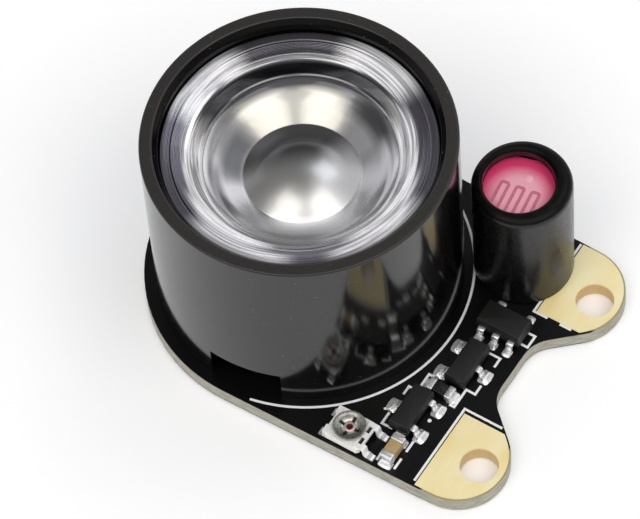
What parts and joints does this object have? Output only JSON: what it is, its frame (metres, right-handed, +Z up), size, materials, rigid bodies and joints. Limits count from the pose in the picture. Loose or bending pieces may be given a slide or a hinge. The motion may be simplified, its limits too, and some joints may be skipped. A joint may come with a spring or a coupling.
{
  "type": "infrared illuminator",
  "caption": "Small infrared lamp for a camera: a tall black lens barrel and a light sensor in a sleeve on a round-ended board with gold screw ears.",
  "frame": {"origin": "the lens barrel's axis where it meets the plane of the board's underside", "axes": "+Z up along the barrel's axis, away from the board; +X along the board towards the two gold ears; +Y towards the light sensor's side"},
  "size_m": [0.0261, 0.019, 0.0141],
  "materials": {
    "board_mask": "satin black solder mask over glass-fibre board",
    "contact_gold": "matt gold plating over copper",
    "barrel_plastic": "polished moulded black plastic",
    "lens_plastic": "clear moulded optical plastic",
    "reflector_metal": "vacuum metallised, satin",
    "emitter_slug_metal": "plated",
    "emitter_frame_plastic": "white moulded",
    "emitter_die_crystal": "polished",
    "emitter_silicone": "clear silicone",
    "tinned_lead": "tin plated",
    "solder": "bright solder",
    "sleeve_rubber": "satin heat-shrink tube",
    "sensor_ceramic": "crimson track under clear lacquer",
    "trimmer_ceramic": "white fired ceramic",
    "rotor_metal": "stamped, tin plated",
    "eyelet_metal": "dark red sealed rivet",
    "capacitor_ceramic": "tan fired ceramic",
    "tinned_terminal": "tin plated, matt",
    "resistor_glaze": "black overglaze on white ceramic",
    "package_epoxy": "moulded black epoxy"
  },
  "bodies": {
    "board": {"circuit_board": "board_mask", "near_power_contact": "contact_gold", "far_power_contact": "contact_gold", "lens_barrel": "barrel_plastic", "lens": "lens_plastic", "reflector": "reflector_metal", "emitter_slug": "emitter_slug_metal", "emitter_frame": "emitter_frame_plastic", "emitter_die": "emitter_die_crystal", "emitter_dome": "emitter_silicone", "emitter_leads": "tinned_lead", "emitter_solder": "solder", "photoresistor_sleeve": "sleeve_rubber", "photoresistor_body": "sensor_ceramic", "photoresistor_leads": "tinned_lead", "trimmer_base": "trimmer_ceramic", "trimmer_end_clips": "tinned_lead", "trimmer_wiper_plate": "tinned_lead", "trimmer_eyelet": "eyelet_metal", "trimmer_solder": "solder", "capacitor_body": "capacitor_ceramic", "capacitor_terminals": "tinned_terminal", "capacitor_solder": "solder", "resistor_body": "resistor_glaze", "resistor_terminals": "tinned_terminal", "resistor_solder": "solder", "sensor_transistor_body": "package_epoxy", "sensor_transistor_leads": "tinned_lead", "sensor_transistor_solder": "solder", "switch_transistor_body": "package_epoxy", "switch_transistor_leads": "tinned_lead", "switch_transistor_solder": "solder", "driver_body": "package_epoxy", "driver_leads": "tinned_lead", "driver_solder": "solder"},
    "adjuster": {"trimmer_rotor": "rotor_metal"}
  },
  "joints": [
    {"name": "trimmer_turn", "type": "hinge", "parent": "board", "child": "adjuster", "pos_m": [0.00783, -0.00816, 0.0017], "axis": [0, 0, 1], "range_deg": [-125, 125]}
  ]
}
